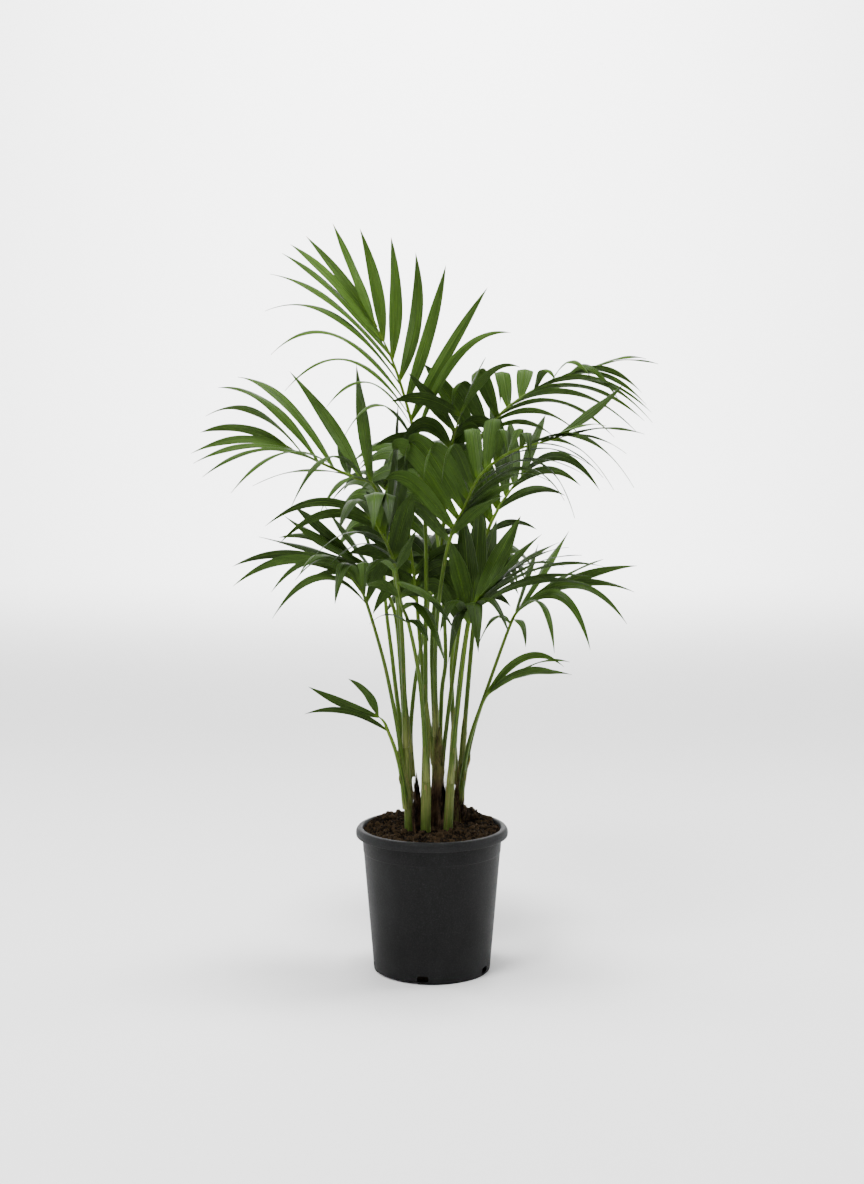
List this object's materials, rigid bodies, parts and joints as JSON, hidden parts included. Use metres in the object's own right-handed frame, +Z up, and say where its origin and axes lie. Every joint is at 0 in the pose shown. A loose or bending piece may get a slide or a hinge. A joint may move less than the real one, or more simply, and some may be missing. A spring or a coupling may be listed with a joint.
{
  "type": "potted palm",
  "caption": "Feather-leaved indoor palm seedlings growing together in a round plastic nursery pot with a rolled rim and drainage slots round its foot",
  "frame": {"origin": "centre of the pot's underside, on the surface that the pot stands on", "axes": "+Z up along the pot's axis; -Y is the side that faces the viewer; +X is to the viewer's right"},
  "size_m": [0.5835, 0.5366, 0.9355],
  "materials": {
    "pot": "matte",
    "soil": "matte",
    "leaf": "satin",
    "sheath": "satin",
    "old_sheath": "matte"
  },
  "bodies": {
    "root": {"pot": "pot", "soil": "soil", "stem_left": "sheath", "stem_left_back": "sheath", "stem_centre": "sheath", "stem_centre_back": "sheath", "stem_right": "sheath", "stem_right_back": "sheath", "stem_back": "sheath", "old_sheath_left": "old_sheath", "old_sheath_centre": "old_sheath", "old_sheath_right": "old_sheath", "old_sheath_back": "old_sheath", "frond_top_left": "leaf", "frond_left": "leaf", "frond_back_right": "leaf", "frond_front_right": "leaf", "frond_low_right": "leaf", "frond_low_centre_right": "leaf", "frond_low_left": "leaf", "frond_low_left_back": "leaf", "frond_small_left": "leaf", "frond_small_right": "leaf", "frond_centre_left": "leaf", "frond_front_low": "leaf", "frond_centre_right": "leaf", "frond_centre": "leaf", "frond_back": "leaf", "frond_back_left": "leaf", "frond_back_right_low": "leaf", "frond_back_low": "leaf", "frond_centre_low": "leaf", "frond_centre_low_right": "leaf"}
  },
  "joints": []
}
